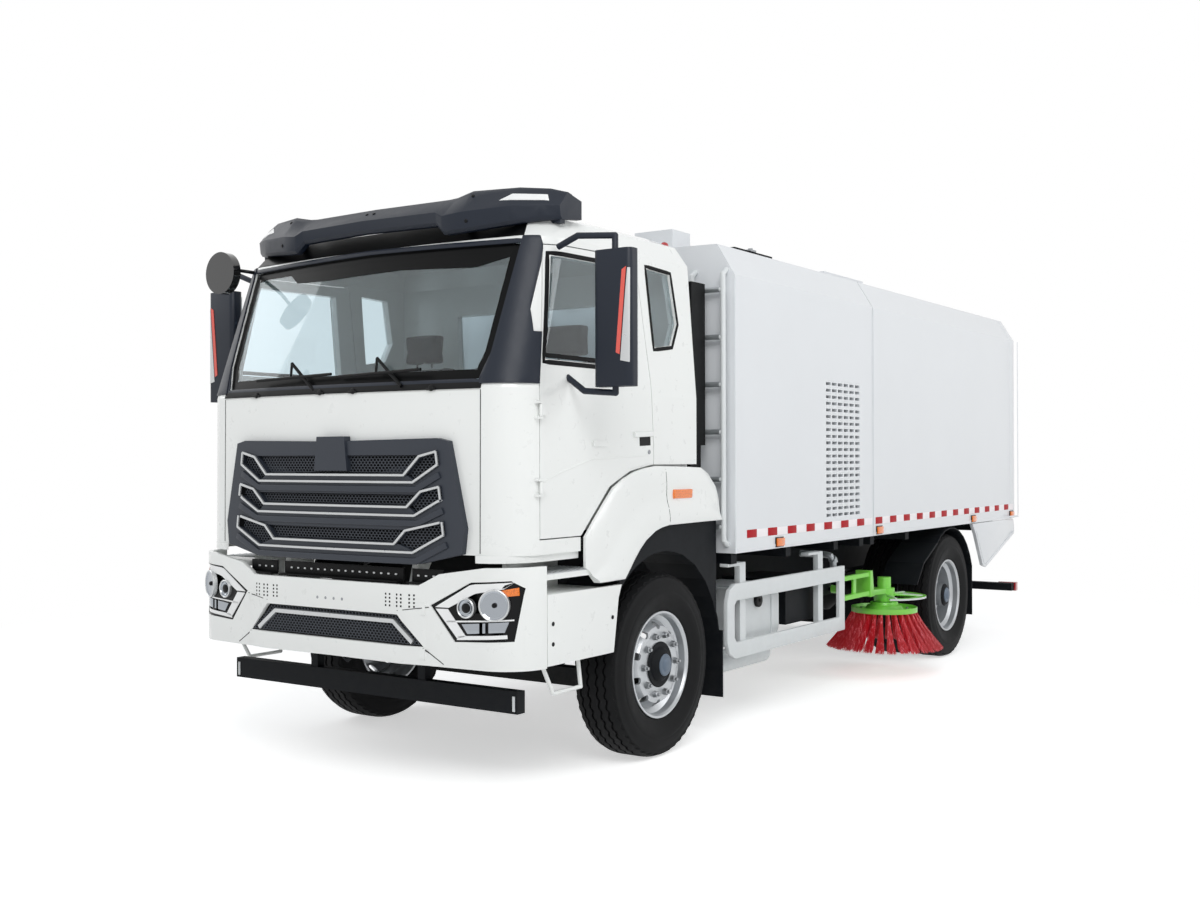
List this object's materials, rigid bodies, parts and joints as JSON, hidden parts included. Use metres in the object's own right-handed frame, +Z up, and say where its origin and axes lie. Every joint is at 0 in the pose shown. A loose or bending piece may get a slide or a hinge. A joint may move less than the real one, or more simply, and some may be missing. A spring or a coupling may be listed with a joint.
{
  "type": "street sweeper truck",
  "caption": "Two-axle street sweeper truck with tilting cab, louvred machine housing, tipping debris hopper, swing-out side brushes and a rear suction nozzle.",
  "frame": {"origin": "on the ground, midway along the overall length and on the centre line", "axes": "+Z up, the truck faces -Y, +X is the driver's (left) side"},
  "size_m": [3.11, 7.84, 3.1299],
  "materials": {
    "black_steel": "satin",
    "cast_iron": "rough",
    "tyre": "matte",
    "rim": "silver satin",
    "white_paint": "gloss",
    "light_grey_paint": "satin",
    "dark_plastic": "matte",
    "blue_black_plastic": "satin",
    "window_glass": "clear",
    "lamp": "clear cover",
    "grille_plastic": "satin with bright trims",
    "interior_plastic": "matte",
    "seat_cloth": "woven",
    "galvanised": "dull",
    "green_paint": "gloss",
    "brush_red": "bristle"
  },
  "bodies": {
    "chassis": {"chassis_frame": "black_steel", "sub_frame": "black_steel", "front_axle": "cast_iron", "leaf_springs": "black_steel", "rear_axle": "cast_iron", "engine_blocks": "cast_iron", "front_bumper": "white_paint", "lamps": "lamp", "bumper_mesh": "dark_plastic", "underrun_bars": "dark_plastic", "steps": "white_paint", "front_fenders": "white_paint", "arch_liners": "dark_plastic", "side_guards": "light_grey_paint", "tanks": "light_grey_paint", "side_boxes": "dark_plastic", "silencer": "black_steel", "machine_housing": "white_paint", "roof_box": "white_paint", "ladder": "galvanised", "intake_stack": "dark_plastic", "rear_skirts": "white_paint", "rear_mudguards": "dark_plastic", "suction_nozzle": "black_steel"},
    "cab": {"cab_shell": "white_paint", "front_panel": "white_paint", "cab_glass": "window_glass", "grille": "grille_plastic", "sun_visor": "blue_black_plastic", "front_mirror": "blue_black_plastic", "wipers": "dark_plastic", "dashboard": "interior_plastic", "seats": "seat_cloth"},
    "left_door": {"door_left": "white_paint", "door_glass_left": "window_glass", "mirror_left": "blue_black_plastic"},
    "right_door": {"door_right": "white_paint", "door_glass_right": "window_glass", "mirror_right": "blue_black_plastic"},
    "left_knuckle": {"knuckle_left": "cast_iron"},
    "right_knuckle": {"knuckle_right": "cast_iron"},
    "front_left_wheel": {"tyre_front_left": "tyre", "rim_front_left": "rim"},
    "front_right_wheel": {"tyre_front_right": "tyre", "rim_front_right": "rim"},
    "rear_left_wheels": {"tyres_rear_left": "tyre", "rim_rear_left": "rim"},
    "rear_right_wheels": {"tyres_rear_right": "tyre", "rim_rear_right": "rim"},
    "hopper": {"hopper_shell": "white_paint"},
    "rear_gate": {"tailgate": "white_paint"},
    "roof_hatch": {"roof_lid": "dark_plastic"},
    "left_swing": {"swing_arm_left": "green_paint"},
    "right_swing": {"swing_arm_right": "green_paint"},
    "left_lift": {"lift_arm_left": "green_paint"},
    "right_lift": {"lift_arm_right": "green_paint"},
    "left_brush": {"brush_left": "brush_red"},
    "right_brush": {"brush_right": "brush_red"}
  },
  "joints": [
    {"name": "steer_left", "type": "hinge", "parent": "chassis", "child": "left_knuckle", "pos_m": [0.88, -2.485, 0.515], "axis": [0, 0, 1], "range_deg": [-36, 36]},
    {"name": "steer_right", "type": "hinge", "parent": "chassis", "child": "right_knuckle", "pos_m": [-0.88, -2.485, 0.515], "axis": [0, 0, 1], "range_deg": [-36, 36]},
    {"name": "spin_front_left", "type": "hinge", "parent": "left_knuckle", "child": "front_left_wheel", "pos_m": [1.02, -2.485, 0.515], "axis": [1, 0, 0], "continuous": true},
    {"name": "spin_front_right", "type": "hinge", "parent": "right_knuckle", "child": "front_right_wheel", "pos_m": [-1.02, -2.485, 0.515], "axis": [1, 0, 0], "continuous": true},
    {"name": "spin_rear_left", "type": "hinge", "parent": "chassis", "child": "rear_left_wheels", "pos_m": [0.915, 2.015, 0.515], "axis": [1, 0, 0], "continuous": true},
    {"name": "spin_rear_right", "type": "hinge", "parent": "chassis", "child": "rear_right_wheels", "pos_m": [-0.915, 2.015, 0.515], "axis": [1, 0, 0], "continuous": true},
    {"name": "cab_tilt", "type": "hinge", "parent": "chassis", "child": "cab", "pos_m": [0, -3.785, 1], "axis": [1, 0, 0], "range_deg": [0, 48]},
    {"name": "door_open_left", "type": "hinge", "parent": "cab", "child": "left_door", "pos_m": [1.16, -3.631, 1.7], "axis": [0, 0, -1], "range_deg": [0, 65]},
    {"name": "door_open_right", "type": "hinge", "parent": "cab", "child": "right_door", "pos_m": [-1.16, -3.631, 1.7], "axis": [0, 0, 1], "range_deg": [0, 65]},
    {"name": "hopper_tip", "type": "hinge", "parent": "chassis", "child": "hopper", "pos_m": [0, 3.68, 1.055], "axis": [-1, 0, 0], "range_deg": [0, 45]},
    {"name": "gate_open", "type": "hinge", "parent": "hopper", "child": "rear_gate", "pos_m": [0, 3.6, 3.02], "axis": [1, 0, 0], "range_deg": [0, 80]},
    {"name": "hatch_open", "type": "hinge", "parent": "chassis", "child": "roof_hatch", "pos_m": [0.455, -1.04, 3.02], "axis": [0, -1, 0], "range_deg": [0, 85]},
    {"name": "swing_left", "type": "hinge", "parent": "chassis", "child": "left_swing", "pos_m": [0.88, -0.045, 0.72], "axis": [0, 0, 1], "range_deg": [0, 16]},
    {"name": "swing_right", "type": "hinge", "parent": "chassis", "child": "right_swing", "pos_m": [-0.88, -0.045, 0.72], "axis": [0, 0, -1], "range_deg": [0, 16]},
    {"name": "lift_left", "type": "hinge", "parent": "left_swing", "child": "left_lift", "pos_m": [1.07, 0.055, 0.72], "axis": [1, 0, 0], "range_deg": [-9, 8]},
    {"name": "lift_right", "type": "hinge", "parent": "right_swing", "child": "right_lift", "pos_m": [-1.07, 0.055, 0.72], "axis": [1, 0, 0], "range_deg": [-9, 8]},
    {"name": "spin_brush_left", "type": "hinge", "parent": "left_lift", "child": "left_brush", "pos_m": [1.08, 0.915, 0.5], "axis": [0, 0, 1], "continuous": true},
    {"name": "spin_brush_right", "type": "hinge", "parent": "right_lift", "child": "right_brush", "pos_m": [-1.08, 0.915, 0.5], "axis": [0, 0, 1], "continuous": true}
  ],
  "couplings": [
    {"joint": "steer_right", "follows": "steer_left", "ratio": 1}
  ]
}
